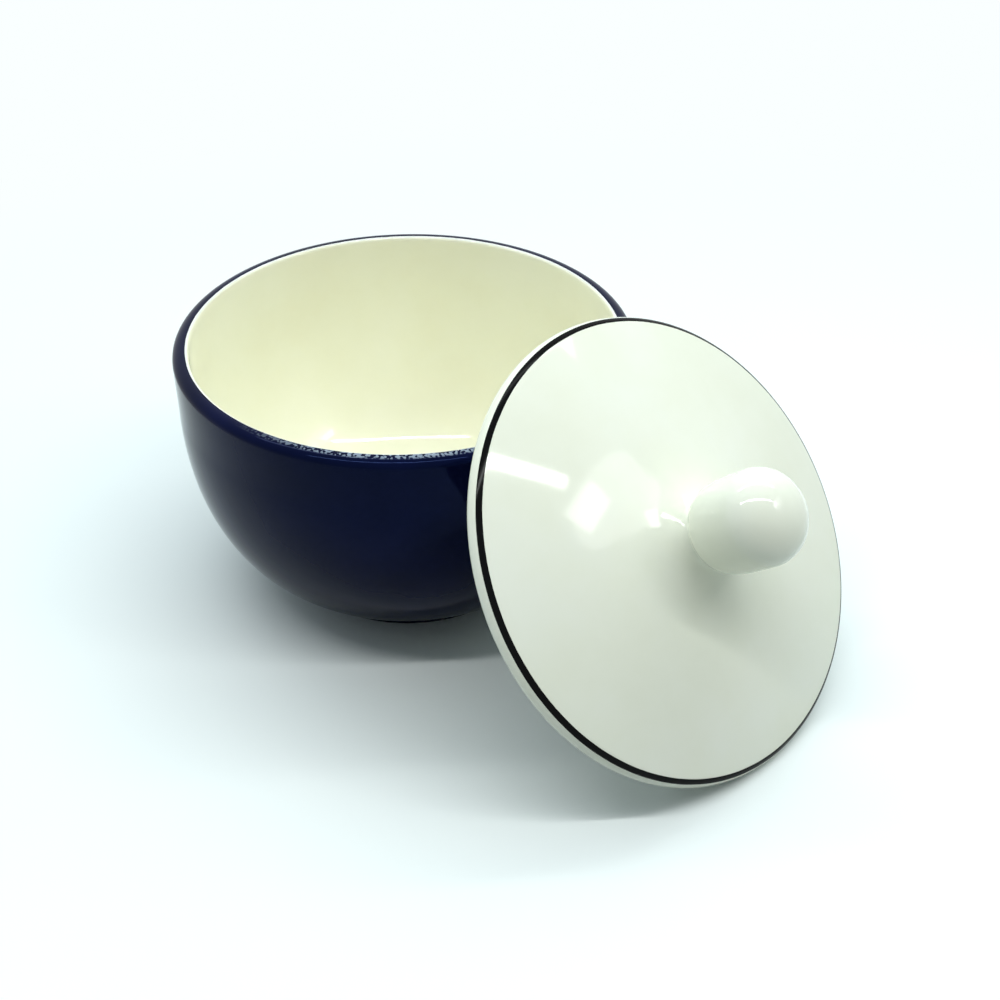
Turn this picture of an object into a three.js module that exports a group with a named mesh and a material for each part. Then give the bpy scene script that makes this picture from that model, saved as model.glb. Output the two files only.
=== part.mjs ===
// Sugar bowl with a loose lid, in glazed pottery.
// The bowl stands on its foot ring. The lid is off and leans towards +X: its low edge stands on the
// table and the locating flange under it rests against the bowl's rim.
// Millimetres, +Z up, the table at Z = 0, the origin at the middle of the set's footprint.
import * as THREE from 'three';

// Bowl
const RIM_RADIUS = 54;
const BOWL_HEIGHT = 62.9;
const BOWL_WALL = 3.8;
const BOWL_FLOOR = 5.4;
const UPPER_WALL = 14; // nearly straight wall under the rim
const UPPER_DRAFT = 0.2; // how far that wall draws in
const BELLY_FULLNESS = 0.77; // how long the belly keeps the wall's direction, as a share of its height
const BELLY_FLATNESS = 0.16; // how long it keeps the floor's direction, as a share of its width
const FLOOR_EASE = 0.4; // how long the inner floor keeps level at each end, as a share of its width
const FOOT_RADIUS = 30.5;
const FOOT_HEIGHT = 4.2;
const FOOT_WALL = 4.6;
const FOOT_RECESS = 2.4;
const FOOT_EDGE = 0.8; // rounding of the foot ring's two lower edges
const FOOT_FILLET = 1.4; // hollow rounding between the foot ring and the belly

// Lid, measured upwards from the flat face that rests on the rim
const LID_RADIUS = 51.8;
const LID_EDGE = 4.6; // thickness of the rounded edge
const EDGE_ROUND = 2.9; // rounding of the edge's upper side
const EDGE_UNDER = 1.7; // rounding of the edge's lower side
const LID_WALL = 4;
const DOME_RISE = 7.2; // from the edge's top to the foot of the flare
const DOME_EDGE_SLOPE = 17; // degrees, where the dome meets the rounded edge
const DOME_TOP_SLOPE = 8; // degrees, where the dome meets the flare
const FLARE_RADIUS = 20;
const NECK_RADIUS = 6.3;
const NECK_HEIGHT = 17;
const NECK_SLOPE = 78; // degrees, where the flare meets the knob
const FLANGE_DEPTH = 7;
const FLANGE_WALL = 3.4;
const FLANGE_EDGE = 1.2; // rounding of the flange's two lower edges
const FLANGE_CLEARANCE = 2.9; // between the flange's root and the bowl's mouth
const FLANGE_TAPER = 3; // how far the flange draws in below its root

// Knob
const KNOB_RADIUS = 10.4;
const KNOB_LENGTH = 22.3;
const KNOB_SHOULDER = 4.1; // how far the knob swells out just above its neck
const SHOULDER_RISE = 0.7; // how far it rises while it swells
const KNOB_FULLNESS = 0.65; // how long it keeps its full width below the cap, as a share of its side
const CAP_HEIGHT = 8.2; // rounded end of the knob
const JOINT_GAP = 0.3; // bed of slip between the lid and the knob

// Resting place of the lid
const LID_LEAN = 50.4; // degrees between the lid's axis and the vertical
const REST_GAP = 0.3; // between the flange and the rim

// Facets
const WIDE_SIDES = 56;
const KNOB_SIDES = 36;
const BELLY_STEPS = 10;
const FLOOR_STEPS = 3;
const RIM_STEPS = 8;
const DOME_STEPS = 6;
const HOLLOW_STEPS = 5;
const EDGE_STEPS = 4;
const UNDER_STEPS = 3;
const FILLET_STEPS = 3;
const CORNER_STEPS = 2;
const KNOB_STEPS = 7;
const SAME_POINT = 1e-6; // closer points of a profile count as one
const PLACE_TOLERANCE = 1e-5;

const NAVY_GLAZE = new THREE.MeshStandardMaterial({ color: 0x161f3a, roughness: 0.12, metalness: 0 });
const IVORY_GLAZE = new THREE.MeshStandardMaterial({ color: 0xeef0e2, roughness: 0.12, metalness: 0 });

const rad = THREE.MathUtils.degToRad;
const at = (radius, height) => new THREE.Vector2(radius, height);

// Points of a circular arc in the profile's plane, both ends included.
function arc(centre, radius, startDegrees, endDegrees, steps) {
  const points = [];
  for (let i = 0; i <= steps; i += 1) {
    const angle = rad(THREE.MathUtils.lerp(startDegrees, endDegrees, i / steps));
    points.push(at(centre.x + radius * Math.cos(angle), centre.y + radius * Math.sin(angle)));
  }
  return points;
}

// Curve from one point to another that leaves and arrives at the given slopes, both rising inwards.
function slopedCurve(from, fromDegrees, to, toDegrees) {
  const a = Math.tan(rad(fromDegrees));
  const b = Math.tan(rad(toDegrees));
  const x = (from.y - to.y + a * from.x - b * to.x) / (a - b);
  return new THREE.QuadraticBezierCurve(from, at(x, from.y + a * (from.x - x)), to);
}

// Drops points that repeat the one before them.
function clean(points) {
  return points.filter((p, i) => i === 0 || p.distanceTo(points[i - 1]) > SAME_POINT);
}

function turned(profile, sides) {
  return new THREE.LatheGeometry(profile, sides).rotateX(Math.PI / 2);
}

function bowlProfile() {
  const bellyTop = at(RIM_RADIUS - UPPER_DRAFT, BOWL_HEIGHT - UPPER_WALL);
  const bellyFoot = at(FOOT_RADIUS + FOOT_FILLET, FOOT_HEIGHT);
  const belly = new THREE.CubicBezierCurve(
    bellyFoot,
    at(THREE.MathUtils.lerp(bellyFoot.x, bellyTop.x, BELLY_FLATNESS), bellyFoot.y),
    at(bellyTop.x, THREE.MathUtils.lerp(bellyTop.y, bellyFoot.y, BELLY_FULLNESS)),
    bellyTop,
  );
  const outside = belly.getPoints(BELLY_STEPS);
  const inside = outside.map((p, i) => {
    const along = belly.getTangent(i / BELLY_STEPS);
    return at(p.x - BOWL_WALL * along.y, p.y + BOWL_WALL * along.x);
  });

  const footInner = FOOT_RADIUS - FOOT_WALL;
  const innerFloor = inside[0];
  const floorMiddle = FOOT_RECESS + BOWL_FLOOR;
  const floor = new THREE.CubicBezierCurve(
    innerFloor,
    at(innerFloor.x * (1 - FLOOR_EASE), innerFloor.y),
    at(innerFloor.x * FLOOR_EASE, floorMiddle),
    at(0, floorMiddle),
  );
  const rimRound = BOWL_WALL / 2;

  return clean([
    at(0, FOOT_RECESS),
    at(footInner, FOOT_RECESS),
    ...arc(at(footInner + FOOT_EDGE, FOOT_EDGE), FOOT_EDGE, 180, 270, CORNER_STEPS),
    ...arc(at(FOOT_RADIUS - FOOT_EDGE, FOOT_EDGE), FOOT_EDGE, -90, 0, CORNER_STEPS),
    ...arc(at(FOOT_RADIUS + FOOT_FILLET, FOOT_HEIGHT - FOOT_FILLET), FOOT_FILLET, 180, 90, FILLET_STEPS),
    ...outside,
    ...arc(at(RIM_RADIUS - rimRound, BOWL_HEIGHT - rimRound), rimRound, 0, 180, RIM_STEPS),
    ...inside.reverse(),
    ...floor.getPoints(FLOOR_STEPS),
  ]);
}

function lidProfile() {
  const domeSlope = rad(DOME_EDGE_SLOPE);
  const roundCentre = at(LID_RADIUS - EDGE_ROUND, LID_EDGE - EDGE_ROUND);
  const domeEdge = at(
    roundCentre.x + EDGE_ROUND * Math.sin(domeSlope),
    roundCentre.y + EDGE_ROUND * Math.cos(domeSlope),
  );
  const flareFoot = at(FLARE_RADIUS, LID_EDGE + DOME_RISE);
  const neck = at(NECK_RADIUS, NECK_HEIGHT);
  const dome = slopedCurve(domeEdge, DOME_EDGE_SLOPE, flareFoot, DOME_TOP_SLOPE);
  const flare = slopedCurve(flareFoot, DOME_TOP_SLOPE, neck, NECK_SLOPE);

  const flangeRoot = RIM_RADIUS - BOWL_WALL - FLANGE_CLEARANCE;
  const flangeOuter = flangeRoot - FLANGE_TAPER;
  const flangeInner = flangeOuter - FLANGE_WALL;
  const hollowEdge = at(flangeInner, domeEdge.y - LID_WALL);
  const hollowTop = at(FLARE_RADIUS, flareFoot.y - LID_WALL);
  const hollow = slopedCurve(hollowEdge, DOME_EDGE_SLOPE, hollowTop, DOME_TOP_SLOPE);

  return clean([
    at(0, hollowTop.y),
    ...hollow.getPoints(HOLLOW_STEPS).reverse(),
    ...arc(at(flangeInner + FLANGE_EDGE, FLANGE_EDGE - FLANGE_DEPTH), FLANGE_EDGE, 180, 270, CORNER_STEPS),
    ...arc(at(flangeOuter - FLANGE_EDGE, FLANGE_EDGE - FLANGE_DEPTH), FLANGE_EDGE, -90, 0, CORNER_STEPS),
    at(flangeRoot, 0),
    ...arc(at(LID_RADIUS - EDGE_UNDER, EDGE_UNDER), EDGE_UNDER, -90, 0, UNDER_STEPS),
    ...arc(roundCentre, EDGE_ROUND, 0, 90 - DOME_EDGE_SLOPE, EDGE_STEPS),
    ...dome.getPoints(DOME_STEPS),
    ...flare.getPoints(DOME_STEPS),
    at(0, NECK_HEIGHT),
  ]);
}

// The knob's profile starts at its neck, swells over a rounded shoulder and closes in a flattened cap.
function knobProfile() {
  const capFoot = KNOB_LENGTH - CAP_HEIGHT;
  const side = new THREE.CubicBezierCurve(
    at(NECK_RADIUS, 0),
    at(NECK_RADIUS + KNOB_SHOULDER, SHOULDER_RISE),
    at(KNOB_RADIUS, capFoot * (1 - KNOB_FULLNESS)),
    at(KNOB_RADIUS, capFoot),
  );
  const cap = arc(at(0, 0), 1, 0, 90, KNOB_STEPS);
  return clean([
    at(0, 0),
    ...side.getPoints(KNOB_STEPS),
    ...cap.map((p) => at(KNOB_RADIUS * p.x, capFoot + CAP_HEIGHT * p.y)),
  ]);
}

// Distance from a point to the nearest stretch of an open profile.
function distanceToProfile(point, profile) {
  let nearest = Infinity;
  const foot = new THREE.Vector2();
  for (let i = 1; i < profile.length; i += 1) {
    const from = profile[i - 1];
    const stretch = profile[i].clone().sub(from);
    const share = point.clone().sub(from).dot(stretch) / stretch.lengthSq();
    foot.copy(from).addScaledVector(stretch, THREE.MathUtils.clamp(share, 0, 1));
    nearest = Math.min(nearest, foot.distanceTo(point));
  }
  return nearest;
}

// Gap between the bowl's round rim and the lid when the lid's origin is at the given place.
function rimGap(profile, axis, place) {
  const rimRound = BOWL_WALL / 2;
  const ring = RIM_RADIUS - rimRound;
  let gap = Infinity;
  for (let degrees = 0; degrees <= 90; degrees += 1) {
    const onRim = new THREE.Vector3(
      ring * Math.cos(rad(degrees)),
      ring * Math.sin(rad(degrees)),
      BOWL_HEIGHT - rimRound,
    ).sub(place);
    const height = onRim.dot(axis);
    const radius = onRim.addScaledVector(axis, -height).length();
    gap = Math.min(gap, distanceToProfile(at(radius, height), profile) - rimRound);
  }
  return gap;
}

// Place of the lid's origin when it leans with its low edge on the table and its flange at the rim.
function leaningPlace(profile) {
  const lean = rad(LID_LEAN);
  const axis = new THREE.Vector3(Math.sin(lean), 0, Math.cos(lean));
  const reaches = profile.map((p) => p.x * Math.sin(lean) - p.y * Math.cos(lean));
  const place = new THREE.Vector3(RIM_RADIUS + 2 * LID_RADIUS, 0, Math.max(...reaches));
  // The lid comes in from the side, each stride halved when it would come closer than the rest gap.
  for (let stride = EDGE_ROUND; stride > PLACE_TOLERANCE; ) {
    place.x -= stride;
    if (rimGap(profile, axis, place) < REST_GAP) {
      place.x += stride;
      stride /= 2;
    }
  }
  return place;
}

const bowl = new THREE.Mesh(turned(bowlProfile(), WIDE_SIDES), NAVY_GLAZE);
bowl.name = 'bowl';

const lid = new THREE.Mesh(turned(lidProfile(), WIDE_SIDES), IVORY_GLAZE);
lid.name = 'lid';

const knob = new THREE.Mesh(turned(knobProfile(), KNOB_SIDES), IVORY_GLAZE);
knob.name = 'lid_knob';
knob.position.z = NECK_HEIGHT + JOINT_GAP;

const cover = new THREE.Group();
cover.add(lid, knob);
cover.rotation.y = rad(LID_LEAN);
cover.position.copy(leaningPlace(lidProfile()));

const sugarBowl = new THREE.Group();
sugarBowl.add(bowl, cover);
sugarBowl.updateMatrixWorld(true);
sugarBowl.position.x = -new THREE.Box3().setFromObject(sugarBowl, true).getCenter(new THREE.Vector3()).x;

export default sugarBowl;
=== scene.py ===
"""Looks of a glazed sugar bowl whose loose lid leans against its rim.

Profiles are in millimetres and are turned into metres when a mesh is made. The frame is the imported
model's: +Z up, the table at Z = 0, and the lid on the +X side of the bowl.
"""
import math

import bpy
import numpy as np
from mathutils import Matrix, Vector


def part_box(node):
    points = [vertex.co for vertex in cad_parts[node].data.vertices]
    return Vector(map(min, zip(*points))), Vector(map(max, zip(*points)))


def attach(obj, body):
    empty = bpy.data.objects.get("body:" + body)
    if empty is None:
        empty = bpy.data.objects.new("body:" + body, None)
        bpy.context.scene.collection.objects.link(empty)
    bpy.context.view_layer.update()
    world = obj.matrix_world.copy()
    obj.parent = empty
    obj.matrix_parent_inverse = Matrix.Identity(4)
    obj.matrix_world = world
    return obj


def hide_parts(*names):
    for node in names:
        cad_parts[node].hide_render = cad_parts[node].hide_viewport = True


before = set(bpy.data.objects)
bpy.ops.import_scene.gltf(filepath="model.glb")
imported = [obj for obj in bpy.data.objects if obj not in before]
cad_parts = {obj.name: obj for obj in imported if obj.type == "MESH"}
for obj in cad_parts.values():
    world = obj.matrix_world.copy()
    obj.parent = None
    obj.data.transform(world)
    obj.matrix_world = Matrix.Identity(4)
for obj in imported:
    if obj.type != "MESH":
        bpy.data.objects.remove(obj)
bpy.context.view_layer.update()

MM = 0.001

# Bowl
RIM_RADIUS = 54.0
BOWL_HEIGHT = 62.9
BOWL_WALL = 3.8
RIM_ROUND = BOWL_WALL / 2
RIM_CREST = -0.75  # place of the rim's highest line, outwards from the middle of the wall
RIM_SQUARE = 3.0  # power of the curve inside the crest, where 2 is a round one
BOWL_FLOOR = 5.4
UPPER_WALL = 14.0  # nearly straight wall under the rim
UPPER_DRAFT = 0.2  # how far that wall draws in
BELLY_FULLNESS = 0.77  # how long the belly keeps the wall's direction, as a share of its height
BELLY_FLATNESS = 0.16  # how long it keeps the floor's direction, as a share of its width
FLOOR_EASE = 0.4  # how long the inner floor keeps level at each end, as a share of its width
FOOT_RADIUS = 30.5
FOOT_HEIGHT = 4.2
FOOT_WALL = 4.6
FOOT_RECESS = 2.4
FOOT_EDGE = 0.8
FOOT_FILLET = 1.4
RECESS_ROUND = 1.2

# Lid, measured upwards from the flat face that rests on the rim
LID_RADIUS = 51.8
LID_EDGE = 4.6
EDGE_ROUND = 2.9
EDGE_UNDER = 1.7
LID_WALL = 4.0
DOME_RISE = 7.2
DOME_EDGE_SLOPE = 17.0
DOME_TOP_SLOPE = 8.0
FLARE_RADIUS = 20.0
NECK_RADIUS = 6.3
NECK_HEIGHT = 17.0
NECK_SLOPE = 78.0
FLANGE_DEPTH = 7.0
FLANGE_WALL = 3.4
FLANGE_EDGE = 1.2
FLANGE_CLEARANCE = 2.9
FLANGE_TAPER = 3.0
LID_LEAN = 50.4  # degrees between the lid's axis and the vertical

# Knob
KNOB_RADIUS = 10.4
KNOB_LENGTH = 22.3
KNOB_SHOULDER = 4.1
SHOULDER_RISE = 0.7
KNOB_FULLNESS = 0.65
CAP_HEIGHT = 8.2
JOINT_GAP = 0.3

# Softened creases, as the reach round the crease and the rounds of smoothing
NECK_EASE = (2.2, 40)
FLARE_EASE = (6.0, 120)
HOLLOW_EASE = (6.0, 60)
EASE_PULL = 0.5

# Fineness of the meshes
SIDES = 240
CURVE_STEPS = 120
CORNER_STEPS = 8
FILLET_STEPS = 12
FLANGE_STEPS = 10
UNDER_STEPS = 16
EDGE_STEPS = 24
WALL_STEP = 0.45
RIM_STEP = 0.13
FLOOR_STEP = 1.0
COVER_STEP = 0.3
HIDDEN_STEP = 0.8
SEAT_STEP = 0.6
SAME_POINT = 1e-5
ON_AXIS = 1e-6

# Glaze zones along the profiles
NAVY_ENDS = 124.0  # degrees round the rim, from its outside
LINE_WIDTH = 0.45  # white line between the navy and the cream
LINE_OVERLAP = 0.3  # how far that line runs on under the cream
LID_LINE = (35.5, 63.5)  # degrees round the lid's edge, from its outside
BARE_INSET = 0.2  # how far inside the foot's walls its bare clay begins
BARE_RISE = 0.3  # how far that clay comes up from the table
COAT_PROUD = 0.04  # how far the cream stands out from the body
COAT_SUNK = 0.25  # how deep a coat's back lies in the body
CLAY_SUNK = 0.2

# Unevenness of a banded edge, as waves round the piece and their sizes
WAVES = ((3, 0.35), (5, 0.2), (11, 0.18), (23, 0.15), (37, 0.12), (53, 0.1))
WAVE_SHIFT = 1.7
FAR_EDGE_PHASE = 2.0

TURN = np.arange(SIDES) * 2 * math.pi / SIDES


# Profile curves

def on_circle(centre, radius, degrees):
    """Point of a circle at an angle, or points at several."""
    angles = np.radians(degrees)
    return np.asarray(centre) + radius * np.stack([np.cos(angles), np.sin(angles)], -1)


def arc(centre, radius, start, end, steps):
    """Points of a circular arc, in degrees, both ends included."""
    return on_circle(centre, radius, np.linspace(start, end, steps + 1))


def cubic(p0, p1, p2, p3):
    """Bezier curve from its two ends and the two points that it leaves and arrives by."""
    t = np.linspace(0, 1, CURVE_STEPS + 1)[:, None]
    p0, p1, p2, p3 = (np.array(p, float) for p in (p0, p1, p2, p3))
    return (1 - t) ** 3 * p0 + 3 * (1 - t) ** 2 * t * p1 + 3 * (1 - t) * t * t * p2 + t ** 3 * p3


def sloped(start, start_slope, end, end_slope):
    """Curve between two points that leaves and arrives at the given slopes, both rising inwards."""
    a, b = math.tan(math.radians(start_slope)), math.tan(math.radians(end_slope))
    x = (start[1] - end[1] + a * start[0] - b * end[0]) / (a - b)
    middle = np.array([x, start[1] + a * (start[0] - x)])
    t = np.linspace(0, 1, CURVE_STEPS + 1)[:, None]
    return (1 - t) ** 2 * np.array(start) + 2 * (1 - t) * t * middle + t * t * np.array(end)


def joined(*runs):
    """One point list from several runs, without repeated points."""
    points = np.vstack(runs)
    keep = np.r_[True, np.linalg.norm(np.diff(points, axis=0), axis=1) > SAME_POINT]
    return points[keep]


def lengths(points):
    """Length along a polyline at each of its points."""
    return np.r_[0, np.cumsum(np.linalg.norm(np.diff(points, axis=0), axis=1))]


def at_length(points, s):
    """Points of a polyline at the given lengths along it."""
    along = lengths(points)
    return np.stack([np.interp(s, along, points[:, i]) for i in (0, 1)], -1)


def nearest_length(points, place):
    """Length along a polyline of its point that lies nearest to a place."""
    return lengths(points)[np.linalg.norm(points - np.array(place), axis=1).argmin()]


def even(points, step=WALL_STEP):
    """The same line with points at even distances, and its first and last points kept."""
    total = lengths(points)[-1]
    return at_length(points, np.linspace(0, total, max(2, int(round(total / step)) + 1)))


def straight(start, end, step):
    return even(np.array([start, end]), step)


def eased(points, near, reach, rounds):
    """Rounds a crease: points within reach of a place are drawn to their neighbours."""
    points = points.copy()
    weight = np.clip(1 - np.linalg.norm(points - np.array(near), axis=1) / reach, 0, 1)[1:-1, None]
    for _ in range(rounds):
        points[1:-1] += EASE_PULL * weight * ((points[:-2] + points[2:]) / 2 - points[1:-1])
    return points


def normals(points):
    """Unit normals on the right of a polyline's direction, which is outwards on these profiles."""
    t = np.gradient(points, axis=0)
    n = np.stack([t[:, 1], -t[:, 0]], 1)
    return n / np.linalg.norm(n, axis=1)[:, None]


# The bowl's profile, from the middle of the underside round the outside and the rim to the inner floor

belly_top = np.array([RIM_RADIUS - UPPER_DRAFT, BOWL_HEIGHT - UPPER_WALL])
belly_foot = np.array([FOOT_RADIUS + FOOT_FILLET, FOOT_HEIGHT])
belly = cubic(
    belly_foot,
    belly_foot + [BELLY_FLATNESS * (belly_top[0] - belly_foot[0]), 0],
    belly_top - [0, BELLY_FULLNESS * (belly_top[1] - belly_foot[1])],
    belly_top,
)
inner_belly = belly - BOWL_WALL * normals(belly)
inner_belly[0] = belly[0] + [0, BOWL_WALL]
inner_belly[-1] = belly[-1] - [BOWL_WALL, 0]

rim_centre = np.array([RIM_RADIUS - RIM_ROUND, BOWL_HEIGHT - RIM_ROUND])
rim_out = rim_centre + [RIM_ROUND, 0]
rim_in = rim_centre - [RIM_ROUND, 0]
wall_ease = np.array([0, (rim_centre[1] - belly_top[1]) / 3])
outer_wall = cubic(belly_top, belly_top + wall_ease, rim_out - wall_ease, rim_out)
inner_wall = cubic(rim_in, rim_in - wall_ease, inner_belly[-1] + wall_ease, inner_belly[-1])

quarter = arc((0, 0), 1, 0, 90, CURVE_STEPS)
squared = quarter[::-1] ** (2 / RIM_SQUARE)
outer_turn = quarter * [RIM_ROUND - RIM_CREST, RIM_ROUND] + [RIM_CREST, 0]
inner_turn = squared * [-RIM_ROUND - RIM_CREST, RIM_ROUND] + [RIM_CREST, 0]
rim_turn = rim_centre + joined(outer_turn, inner_turn)

foot_inner = FOOT_RADIUS - FOOT_WALL
recess_edge = foot_inner - RECESS_ROUND
underside = joined(
    np.array([[0, FOOT_RECESS], [recess_edge, FOOT_RECESS]]),
    arc((recess_edge, FOOT_RECESS - RECESS_ROUND), RECESS_ROUND, 90, 0, CORNER_STEPS),
    arc((foot_inner + FOOT_EDGE, FOOT_EDGE), FOOT_EDGE, 180, 270, CORNER_STEPS),
)
foot_side = joined(
    arc((FOOT_RADIUS - FOOT_EDGE, FOOT_EDGE), FOOT_EDGE, -90, 0, CORNER_STEPS),
    arc((FOOT_RADIUS + FOOT_FILLET, FOOT_HEIGHT - FOOT_FILLET), FOOT_FILLET, 180, 90, FILLET_STEPS),
)
floor_edge = inner_belly[0]
floor_middle = FOOT_RECESS + BOWL_FLOOR
inner_floor = cubic(
    floor_edge,
    (floor_edge[0] * (1 - FLOOR_EASE), floor_edge[1]),
    (floor_edge[0] * FLOOR_EASE, floor_middle),
    (0, floor_middle),
)
bowl_profile = joined(
    underside,
    foot_side,
    even(belly),
    even(outer_wall),
    even(rim_turn, RIM_STEP),
    even(inner_wall),
    even(inner_belly[::-1]),
    even(inner_floor, FLOOR_STEP),
)

# The lid's profile with its knob, from the middle of the hollow round the edge to the knob's tip

round_centre = np.array([LID_RADIUS - EDGE_ROUND, LID_EDGE - EDGE_ROUND])
dome_edge = on_circle(round_centre, EDGE_ROUND, 90 - DOME_EDGE_SLOPE)
flare_foot = np.array([FLARE_RADIUS, LID_EDGE + DOME_RISE])
neck = np.array([NECK_RADIUS, NECK_HEIGHT])
edge_turn = joined(
    arc((LID_RADIUS - EDGE_UNDER, EDGE_UNDER), EDGE_UNDER, -90, 0, UNDER_STEPS),
    arc(round_centre, EDGE_ROUND, 0, 90 - DOME_EDGE_SLOPE, EDGE_STEPS),
)

cap_foot = KNOB_LENGTH - CAP_HEIGHT
knob_side = cubic(
    (NECK_RADIUS, 0),
    (NECK_RADIUS + KNOB_SHOULDER, SHOULDER_RISE),
    (KNOB_RADIUS, cap_foot * (1 - KNOB_FULLNESS)),
    (KNOB_RADIUS, cap_foot),
)
knob_cap = quarter * [KNOB_RADIUS, CAP_HEIGHT] + [0, cap_foot]
cover_top = even(joined(
    sloped(dome_edge, DOME_EDGE_SLOPE, flare_foot, DOME_TOP_SLOPE),
    sloped(flare_foot, DOME_TOP_SLOPE, neck, NECK_SLOPE),
    joined(knob_side, knob_cap) + [0, NECK_HEIGHT + JOINT_GAP],
), COVER_STEP)
cover_top = eased(cover_top, neck, *NECK_EASE)
cover_top = eased(cover_top, flare_foot, *FLARE_EASE)

flange_root = RIM_RADIUS - BOWL_WALL - FLANGE_CLEARANCE
flange_outer = flange_root - FLANGE_TAPER
flange_inner = flange_outer - FLANGE_WALL
flange_foot = joined(
    arc((flange_inner + FLANGE_EDGE, FLANGE_EDGE - FLANGE_DEPTH), FLANGE_EDGE, 180, 270, FLANGE_STEPS),
    arc((flange_outer - FLANGE_EDGE, FLANGE_EDGE - FLANGE_DEPTH), FLANGE_EDGE, -90, 0, FLANGE_STEPS),
)
hollow_edge = np.array([flange_inner, dome_edge[1] - LID_WALL])
hollow_top = np.array([FLARE_RADIUS, flare_foot[1] - LID_WALL])
hollow = even(joined(
    np.array([[0, hollow_top[1]]]),
    sloped(hollow_edge, DOME_EDGE_SLOPE, hollow_top, DOME_TOP_SLOPE)[::-1],
), HIDDEN_STEP)
hollow = eased(hollow, hollow_top, *HOLLOW_EASE)
hollow[0] = (0, hollow[1][1])
lid_profile = joined(
    hollow,
    straight(hollow[-1], flange_foot[0], HIDDEN_STEP),
    flange_foot,
    straight(flange_foot[-1], (flange_root, 0), HIDDEN_STEP),
    straight((flange_root, 0), edge_turn[0], SEAT_STEP),
    edge_turn,
    cover_top,
)

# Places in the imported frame

bowl_low, bowl_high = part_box("bowl")
bowl_x = (bowl_low[0] + bowl_high[0]) / 2 / MM

# The round edge is the leaning lid's lowest and its farthest part, so the lid's box gives its place
lean = math.radians(LID_LEAN)
lid_low, lid_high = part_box("lid")
lid_x = lid_high[0] / MM - (edge_turn @ [math.cos(lean), math.sin(lean)]).max()
lid_z = lid_low[2] / MM + (edge_turn @ [math.sin(lean), -math.cos(lean)]).max()
bowl_place = Matrix.Translation(Vector((bowl_x, 0, 0)) * MM)
lid_place = Matrix.Translation(Vector((lid_x, 0, lid_z)) * MM) @ Matrix.Rotation(lean, 4, "Y")


# Meshes

def wave(phase):
    """Small unevenness of a hand-banded glaze edge round the piece, between about -1 and 1."""
    return sum(size * np.sin(count * TURN + phase * (count + WAVE_SHIFT)) for count, size in WAVES)


def turned(name, rings, closed, place):
    """A turned mesh from rings, an array of points by side by (radius, height).

    A line that starts or ends on the axis gets one point there. A closed line joins up with its start.
    """
    count = rings.shape[0]
    verts = []
    index = np.zeros((count, SIDES), int)
    for i, ring in enumerate(rings):
        radius, height = ring[:, 0], ring[:, 1]
        index[i] = len(verts)
        if not closed and i in (0, count - 1) and radius.max() < ON_AXIS:
            verts.append((0, 0, height[0]))
            continue
        index[i] += np.arange(SIDES)
        verts.extend(zip(radius * np.cos(TURN), radius * np.sin(TURN), height))
    faces = []
    for i in range(count if closed else count - 1):
        low, high = index[i], index[(i + 1) % count]
        for j in range(SIDES):
            k = (j + 1) % SIDES
            corners = (int(low[j]), int(low[k]), int(high[k]), int(high[j]))
            faces.append(list(dict.fromkeys(corners)))
    mesh = bpy.data.meshes.new(name)
    mesh.from_pydata([Vector(v) * MM for v in verts], [], faces)
    mesh.transform(place)
    mesh.shade_smooth()
    mesh.validate()
    obj = bpy.data.objects.new(name, mesh)
    bpy.context.scene.collection.objects.link(obj)
    return obj


def body_mesh(name, profile, place):
    rings = np.repeat(profile[:, None, :], SIDES, axis=1)
    return turned(name, rings, False, place)


def coat_mesh(name, profile, place, start, end, proud, sway, phase, sunk=COAT_SUNK):
    """A thin closed coat of glaze on a stretch of a profile, from one length along it to another.

    Its face stands proud by a hair, its back lies sunk in the body, and its edges sway a little.
    """
    along = lengths(profile)
    outwards = normals(profile)
    to_axis = end >= along[-1]
    first = start + sway * wave(phase)
    last = np.full(SIDES, end) if to_axis else end + sway * wave(phase + FAR_EDGE_PHASE)
    inside = along[(along > first.max()) & (along < last.min())]
    s = np.vstack([first, np.repeat(inside[:, None], SIDES, axis=1), last])
    base = at_length(profile, s)
    n = np.stack([np.interp(s, along, outwards[:, i]) for i in (0, 1)], -1)
    face, back = base + proud * n, base - sunk * n
    if to_axis:
        face[-1, :, 0] = 0
        back[-1, :, 0] = 0
        return turned(name, np.concatenate([back[::-1], face]), False, place)
    return turned(name, np.concatenate([face, back[::-1]]), True, place)


bowl = (bowl_profile, bowl_place)
navy_end = nearest_length(bowl_profile, on_circle(rim_centre, RIM_ROUND, NAVY_ENDS))
cream_start = navy_end + LINE_WIDTH
bowl_body = body_mesh("bowl_body", *bowl)
bowl_lining = coat_mesh(
    "bowl_lining", *bowl, cream_start, lengths(bowl_profile)[-1],
    proud=COAT_PROUD, sway=0.14, phase=0.4,
)
rim_line = coat_mesh(
    "rim_line", *bowl, navy_end, cream_start + LINE_OVERLAP,
    proud=0.025, sway=0.06, phase=1.1,
)
foot_clay = coat_mesh(
    "foot_clay", *bowl,
    nearest_length(bowl_profile, (foot_inner + BARE_INSET, BARE_RISE)),
    nearest_length(bowl_profile, (FOOT_RADIUS - BARE_INSET, BARE_RISE)),
    proud=0.0, sway=0.05, phase=2.2, sunk=CLAY_SUNK,
)

lid = (lid_profile, lid_place)
line_start, line_end = (
    nearest_length(lid_profile, on_circle(round_centre, EDGE_ROUND, degrees)) for degrees in LID_LINE
)
lid_cover = body_mesh("lid_cover", *lid)
lid_edge_line = coat_mesh("lid_edge_line", *lid, line_start, line_end, proud=0.03, sway=0.05, phase=3.3)
flange_clay = coat_mesh(
    "flange_clay", *lid,
    nearest_length(lid_profile, flange_foot[FLANGE_STEPS // 2]),
    nearest_length(lid_profile, flange_foot[-1 - FLANGE_STEPS // 2]),
    proud=0.02, sway=0.08, phase=4.1,
)


# Shader nodes

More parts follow.
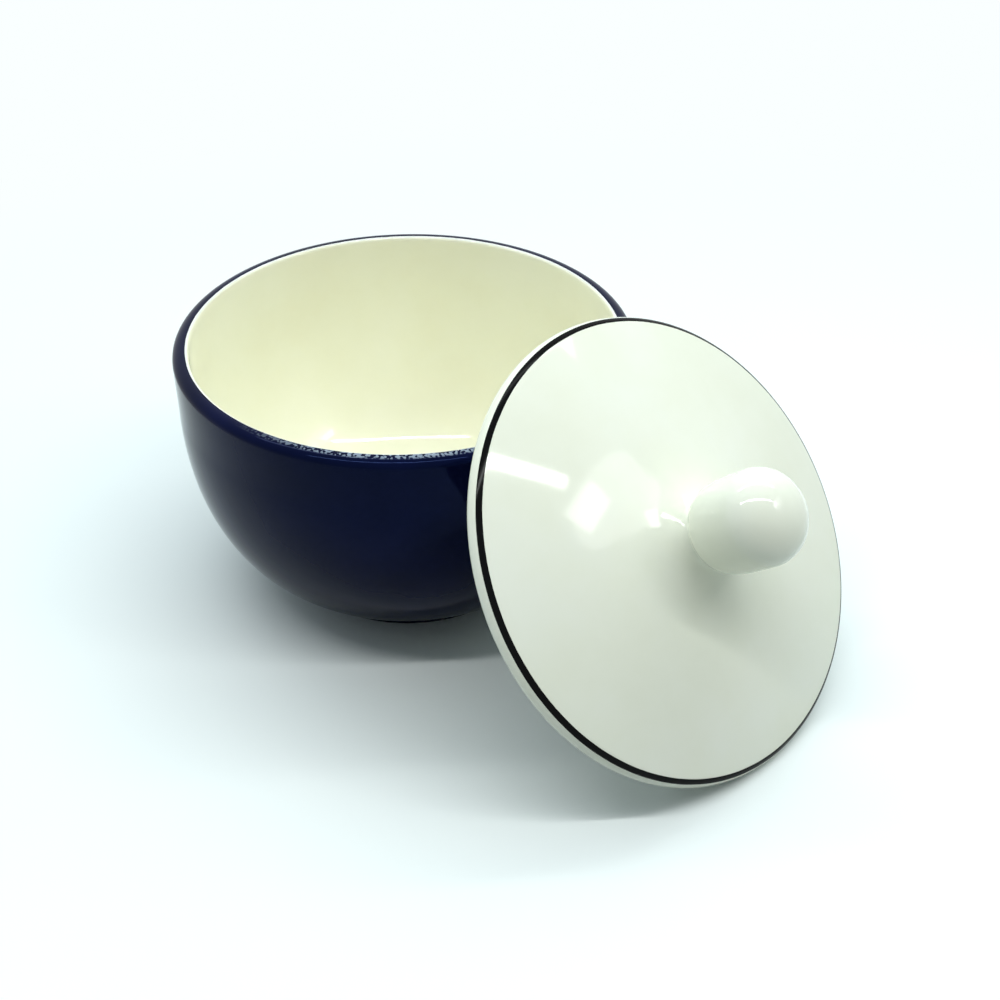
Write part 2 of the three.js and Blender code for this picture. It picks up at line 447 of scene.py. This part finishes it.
def colour(hexa):
    """Linear colour of a written sRGB one."""
    channels = [int(hexa[i:i + 2], 16) / 255 for i in (1, 3, 5)]
    return [c / 12.92 if c <= 0.04045 else ((c + 0.055) / 1.055) ** 2.4 for c in channels] + [1.0]


def direction(azimuth, elevation):
    """Unit vector; the azimuth counts from +X towards +Y."""
    a, e = math.radians(azimuth), math.radians(elevation)
    return Vector((math.cos(a) * math.cos(e), math.sin(a) * math.cos(e), math.sin(e)))


def blank_material(name):
    material = bpy.data.materials.new(name)
    material.use_nodes = True
    tree = material.node_tree
    return material, tree, tree.nodes["Principled BSDF"]


def noise(tree, scale, detail, roughness=0.5):
    """Noise with so many grains to the metre."""
    node = tree.nodes.new("ShaderNodeTexNoise")
    node.inputs["Scale"].default_value = scale
    node.inputs["Detail"].default_value = detail
    node.inputs["Roughness"].default_value = roughness
    coords = tree.nodes.new("ShaderNodeTexCoord")
    tree.links.new(coords.outputs["Object"], node.inputs["Vector"])
    return node.outputs["Fac"]


def ramp(tree, value, positions, shades):
    node = tree.nodes.new("ShaderNodeValToRGB")
    first, last = node.color_ramp.elements
    first.position, first.color = positions[0], colour(shades[0])
    last.position, last.color = positions[-1], colour(shades[-1])
    for position, shade in zip(positions[1:-1], shades[1:-1]):
        node.color_ramp.elements.new(position).color = colour(shade)
    tree.links.new(value, node.inputs["Fac"])
    return node.outputs["Color"]


def map_range(tree, value, source, target=(0.0, 1.0), soft=True):
    """A value taken from one range to another, eased at both ends if soft."""
    node = tree.nodes.new("ShaderNodeMapRange")
    node.interpolation_type = "SMOOTHSTEP" if soft else "LINEAR"
    for name, level in zip(("From Min", "From Max", "To Min", "To Max"), (*source, *target)):
        node.inputs[name].default_value = level
    tree.links.new(value, node.inputs["Value"])
    return node.outputs["Result"]


def maths(tree, operation, first, second):
    node = tree.nodes.new("ShaderNodeMath")
    node.operation = operation
    tree.links.new(first, node.inputs[0])
    tree.links.new(second, node.inputs[1])
    return node.outputs["Value"]


def vector(tree, operation, value, constant=(0, 0, 0)):
    node = tree.nodes.new("ShaderNodeVectorMath")
    node.operation = operation
    tree.links.new(value, node.inputs[0])
    node.inputs[1].default_value = constant
    return node.outputs


def blended(tree, share, first, second):
    """Two colours mixed by a share. Each is a plain colour or another node's output."""
    node = tree.nodes.new("ShaderNodeMix")
    node.data_type = "RGBA"
    tree.links.new(share, node.inputs["Factor"])
    for name, shade in (("A", first), ("B", second)):
        if isinstance(shade, bpy.types.NodeSocket):
            tree.links.new(shade, node.inputs[name])
        else:
            node.inputs[name].default_value = shade
    return node.outputs["Result"]


def bump(tree, value, distance, under=None):
    """Bumps of a height in millimetres, on top of others if there are any."""
    node = tree.nodes.new("ShaderNodeBump")
    node.inputs["Strength"].default_value = 1.0
    node.inputs["Distance"].default_value = distance * MM
    tree.links.new(value, node.inputs["Height"])
    if under is not None:
        tree.links.new(under, node.inputs["Normal"])
    return node.outputs["Normal"]


def from_bowl(tree):
    """Place of a point in millimetres from the middle of the bowl's foot."""
    coords = tree.nodes.new("ShaderNodeTexCoord")
    offset = vector(tree, "SUBTRACT", coords.outputs["Object"], Vector((bowl_x, 0, 0)) * MM)["Vector"]
    return vector(tree, "DIVIDE", offset, (MM, MM, MM))["Vector"]


# Glazes and clay

NOISE_SPAN = (0.3, 0.7)
TONE_GRAIN = 38
TONE_STOPS = (0.3, 0.5, 0.72)
GLOSS_GRAIN = 90
WOBBLE_GRAIN = 55
PEEL_GRAIN = 900
FINE_PEEL = 0.0015
GLAZE_IOR = 1.5
PLAIN_TINT = (1.0, 1.0, 1.0, 1.0)
NAVY_TINT = (0.2, 0.35, 1.0, 1.0)

# Shades run from the darkest, gloss is a range of roughness, and wobble and peel are in millimetres.
# The dark glazes have a low index of refraction, because the photograph's dark tones are deep.
GLAZES = {
    "navy_glaze": {
        "shades": ("#040722", "#060a2b", "#090f36"), "gloss": (0.05, 0.09), "wobble": 0.05,
        "ior": 1.22, "tint": NAVY_TINT,
    },
    "cream_glaze": {"shades": ("#f6f4dd", "#f8f7e2", "#faf9e7"), "gloss": (0.06, 0.1), "wobble": 0.02},
    "white_glaze": {"shades": ("#eceee6", "#f1f3ec", "#f5f6f1"), "gloss": (0.07, 0.12), "wobble": 0.01},
    "ivory_glaze": {"shades": ("#f0f3e1", "#f3f6e6", "#f5f8eb"), "gloss": (0.05, 0.09), "wobble": 0.02},
    "black_line": {
        "shades": ("#020203", "#030304", "#050508"), "gloss": (0.08, 0.16), "wobble": 0.01,
        "peel": 0.002, "ior": 1.17,
    },
}

# Painted highlight: specks come in over a range of heights, and over a range of distances towards their
# side of the rim, the front
HIGHLIGHT_SPECK = "#8b97a8"
HIGHLIGHT_GRAIN = 1500
HIGHLIGHT_SHARE = (0.48, 0.58)
HIGHLIGHT_ZONE = (BOWL_HEIGHT - 0.22, BOWL_HEIGHT - 0.04)
HIGHLIGHT_SIDE = direction(-42.0, 0.0)
HIGHLIGHT_REACH = (RIM_RADIUS - 20.0, RIM_RADIUS - 2.0)

# Painted shade: the lining darkens from the larger radius to the smaller one
MIDDLE_SHADE = "#e3e1c6"
MIDDLE_SHADE_REACH = (38.0, 14.0)

CLAY_SHADES = ("#c4b9a4", "#d6cdbb", "#e2dccd")
CLAY_STOPS = (0.3, 0.5, 0.7)
CLAY_SPECULAR = 0.25
CLAY_ROUGHNESS = (0.65, 0.85)
CLAY_GRAIN = 400
GRIT_GRAIN = 1500
GRIT_HEIGHT = 0.03


def glaze(name, shades, gloss, wobble, peel=FINE_PEEL, ior=GLAZE_IOR, tint=PLAIN_TINT):
    """A fired glaze: uneven shade and gloss, a slow wobble and a fine orange peel."""
    material, tree, shader = blank_material(name)
    shader.inputs["IOR"].default_value = ior
    shader.inputs["Specular Tint"].default_value = tint
    tone = ramp(tree, noise(tree, TONE_GRAIN, detail=4, roughness=0.55), TONE_STOPS, shades)
    tree.links.new(tone, shader.inputs["Base Color"])
    rough = map_range(tree, noise(tree, GLOSS_GRAIN, detail=3), NOISE_SPAN, gloss, soft=False)
    tree.links.new(rough, shader.inputs["Roughness"])
    slow = bump(tree, noise(tree, WOBBLE_GRAIN, detail=1), wobble)
    tree.links.new(bump(tree, noise(tree, PEEL_GRAIN, detail=2), peel, slow), shader.inputs["Normal"])
    return material


def clay(name):
    """Bare fired clay: warm, dull and gritty."""
    material, tree, shader = blank_material(name)
    shader.inputs["Specular IOR Level"].default_value = CLAY_SPECULAR
    grit = noise(tree, GRIT_GRAIN, detail=6, roughness=0.7)
    tree.links.new(ramp(tree, grit, CLAY_STOPS, CLAY_SHADES), shader.inputs["Base Color"])
    rough = map_range(tree, noise(tree, CLAY_GRAIN, detail=3), NOISE_SPAN, CLAY_ROUGHNESS, soft=False)
    tree.links.new(rough, shader.inputs["Roughness"])
    tree.links.new(bump(tree, grit, GRIT_HEIGHT), shader.inputs["Normal"])
    return material


def lay_over(material, share, shade):
    """Lays a second colour over a glaze's own by a share."""
    tree = material.node_tree
    base = tree.nodes["Principled BSDF"].inputs["Base Color"]
    tree.links.new(blended(tree, share, base.links[0].from_socket, colour(shade)), base)


def painted_rim_highlight(material):
    """Painted highlight: grey-blue specks in the navy glaze on the rim's front, for a dotted reflection
    of the lamps.
    """
    tree = material.node_tree
    height = vector(tree, "DOT_PRODUCT", from_bowl(tree), (0, 0, 1))["Value"]
    reach = vector(tree, "DOT_PRODUCT", from_bowl(tree), HIGHLIGHT_SIDE)["Value"]
    zone = maths(
        tree, "MULTIPLY", map_range(tree, height, HIGHLIGHT_ZONE), map_range(tree, reach, HIGHLIGHT_REACH),
    )
    grains = map_range(tree, noise(tree, HIGHLIGHT_GRAIN, detail=0), HIGHLIGHT_SHARE, soft=False)
    lay_over(material, maths(tree, "MULTIPLY", zone, grains), HIGHLIGHT_SPECK)


def shaded_middle(material):
    """Painted shade: the lining is darker towards the middle of the bowl, against the lamps' strong
    light there.
    """
    tree = material.node_tree
    flat = vector(tree, "MULTIPLY", from_bowl(tree), (1, 1, 0))["Vector"]
    radius = vector(tree, "LENGTH", flat)["Value"]
    lay_over(material, map_range(tree, radius, MIDDLE_SHADE_REACH), MIDDLE_SHADE)


materials = {name: glaze(name, **look) for name, look in GLAZES.items()}
materials["bare_clay"] = clay("bare_clay")
# Painted highlight: pale specks on the front of the navy rim
painted_rim_highlight(materials["navy_glaze"])
# Painted shade: the lining darker towards the middle of the bowl
shaded_middle(materials["cream_glaze"])

for piece, body, slot in (
    (bowl_body, "bowl", "navy_glaze"),
    (bowl_lining, "bowl", "cream_glaze"),
    (rim_line, "bowl", "white_glaze"),
    (foot_clay, "bowl", "bare_clay"),
    (lid_cover, "lid", "ivory_glaze"),
    (lid_edge_line, "lid", "black_line"),
    (flange_clay, "lid", "bare_clay"),
):
    piece.data.materials.append(materials[slot])
    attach(piece, body)
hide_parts("bowl")
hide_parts("lid", "lid_knob")


# Floor, in metres

BACKGROUND = (0.955, 1.0, 1.0, 1.0)
FLOOR_SHADES = ("#f4fbfc", "#f8fdfd")
FLOOR_BOUNCE = "#b4b8b6"
FLOOR_GRAIN = 6
FLOOR_SPECULAR = 0.1
FLOOR_ROUGHNESS = 0.6
FLOOR_FADE = (0.12, 0.3)
FLOOR_HALF = 3.0
FLOOR_DROP = 0.00005


def seen_ray(tree):
    """1 for rays from the camera, off gloss and through glass, 0 for all other light."""
    path = tree.nodes.new("ShaderNodeLightPath").outputs
    mirrored = maths(tree, "MAXIMUM", path["Is Camera Ray"], path["Is Glossy Ray"])
    return maths(tree, "MAXIMUM", mirrored, path["Is Transmission Ray"])


def mixed_shader(tree, share, first, second):
    node = tree.nodes.new("ShaderNodeMixShader")
    tree.links.new(share, node.inputs["Fac"])
    tree.links.new(first, node.inputs[1])
    tree.links.new(second, node.inputs[2])
    return node.outputs["Shader"]


def floor_material():
    """A pale table that fades into the background away from the object."""
    material, tree, shader = blank_material("floor")
    shader.inputs["Specular IOR Level"].default_value = FLOOR_SPECULAR
    shader.inputs["Roughness"].default_value = FLOOR_ROUGHNESS
    seen = seen_ray(tree)
    tone = ramp(tree, noise(tree, FLOOR_GRAIN, detail=3), NOISE_SPAN, FLOOR_SHADES)
    tree.links.new(blended(tree, seen, colour(FLOOR_BOUNCE), tone), shader.inputs["Base Color"])
    glow = tree.nodes.new("ShaderNodeEmission")
    glow.inputs["Color"].default_value = BACKGROUND
    geometry = tree.nodes.new("ShaderNodeNewGeometry")
    distance = vector(tree, "LENGTH", geometry.outputs["Position"])["Value"]
    share = maths(tree, "MULTIPLY", map_range(tree, distance, FLOOR_FADE), seen)
    surface = mixed_shader(tree, share, shader.outputs["BSDF"], glow.outputs["Emission"])
    tree.links.new(surface, tree.nodes["Material Output"].inputs["Surface"])
    return material


floor_mesh = bpy.data.meshes.new("floor")
floor_mesh.from_pydata(
    [(x * FLOOR_HALF, y * FLOOR_HALF, -FLOOR_DROP) for x, y in ((-1, -1), (1, -1), (1, 1), (-1, 1))],
    [], [(0, 1, 2, 3)],
)
floor_mesh.materials.append(floor_material())
floor = bpy.data.objects.new("floor", floor_mesh)
bpy.context.scene.collection.objects.link(floor)


# Lamps, in metres

AIM = Vector((0.0, 0.0, 0.03))
BAR_RISE = 0.6
BAR_LENGTH = 0.9
BAR_TURN = 46.0
BAR_TINT = (0.97, 1.0, 0.98)
SOFTBOX_TINT = (1.0, 1.0, 1.0)


def area_lamp(name, shape, size, power, tint):
    lamp = bpy.data.lights.new(name, "AREA")
    lamp.shape = shape
    lamp.size, lamp.size_y = size
    lamp.energy = power
    lamp.color = tint
    obj = bpy.data.objects.new(name, lamp)
    bpy.context.scene.collection.objects.link(obj)
    return obj


def bar(name, x, y, width, power):
    """A long narrow lamp that hangs level over the table."""
    obj = area_lamp(name, "RECTANGLE", (BAR_LENGTH, width), power, BAR_TINT)
    obj.location = AIM + Vector((x, y, BAR_RISE))
    obj.rotation_euler = (0, 0, math.radians(BAR_TURN))


def softbox(name, shape, azimuth, elevation, distance, size, power):
    """A lamp that looks at the object."""
    obj = area_lamp(name, shape, size, power, SOFTBOX_TINT)
    obj.location = AIM + direction(azimuth, elevation) * distance
    obj.rotation_euler = (AIM - obj.location).to_track_quat("-Z", "Y").to_euler()


bar("front_bar", x=0.162, y=-0.078, width=0.03, power=2.28)
bar("back_bar", x=-0.0976, y=0.2069, width=0.06, power=1.15)
softbox("patch", "RECTANGLE", azimuth=24.7, elevation=42.5, distance=0.66, size=(0.11, 0.07), power=0.11)
softbox("halo", "ELLIPSE", azimuth=31.0, elevation=40.0, distance=0.72, size=(0.3, 0.16), power=0.25)


# Studio, dim in front of the object and light at its back and sides

# Azimuth, elevation and strength of each soft side of the light
WORLD_LOBES = ((132, 20, 0.86), (195, 25, 0.6), (62, 12, 0.4))
WORLD_TINT = (0.84, 0.97, 1.0, 1.0)


def lobe(tree, azimuth, elevation, strength):
    """Light from one side, which fades to nothing at right angles to it."""
    coords = tree.nodes.new("ShaderNodeTexCoord")
    axis = direction(azimuth, elevation)
    facing = vector(tree, "DOT_PRODUCT", coords.outputs["Generated"], axis)["Value"]
    return map_range(tree, facing, (0.0, 1.0), (0.0, strength))


world = bpy.data.worlds.new("studio")
world.use_nodes = True
sky = world.node_tree
level, *others = (lobe(sky, *values) for values in WORLD_LOBES)
for other in others:
    level = maths(sky, "ADD", level, other)
studio = sky.nodes["Background"]
studio.inputs["Color"].default_value = WORLD_TINT
sky.links.new(level, studio.inputs["Strength"])
backdrop = sky.nodes.new("ShaderNodeBackground")
backdrop.inputs["Color"].default_value = BACKGROUND
surroundings = mixed_shader(
    sky, seen_ray(sky), studio.outputs["Background"], backdrop.outputs["Background"],
)
sky.links.new(surroundings, sky.nodes["World Output"].inputs["Surface"])
bpy.context.scene.world = world
bpy.context.scene.view_settings.view_transform = "Standard"


# Camera at the photograph's place

CAMERA_PLACE = (0.22008, -0.24267, 0.26088)
CAMERA_PITCH = 35.265
CAMERA_TURN = 42.116
SENSOR_WIDTH = 36.0
FOCAL_PIXELS = 1697.4
FRAME_PIXELS = 1000
CLIP_START = 0.01

camera = bpy.data.objects.new("camera", bpy.data.cameras.new("camera"))
camera.location = CAMERA_PLACE
camera.rotation_euler = (math.radians(90 - CAMERA_PITCH), 0, math.radians(CAMERA_TURN))
camera.data.sensor_width = SENSOR_WIDTH
camera.data.lens = SENSOR_WIDTH * FOCAL_PIXELS / FRAME_PIXELS
camera.data.clip_start = CLIP_START
bpy.context.scene.collection.objects.link(camera)
bpy.context.scene.camera = camera
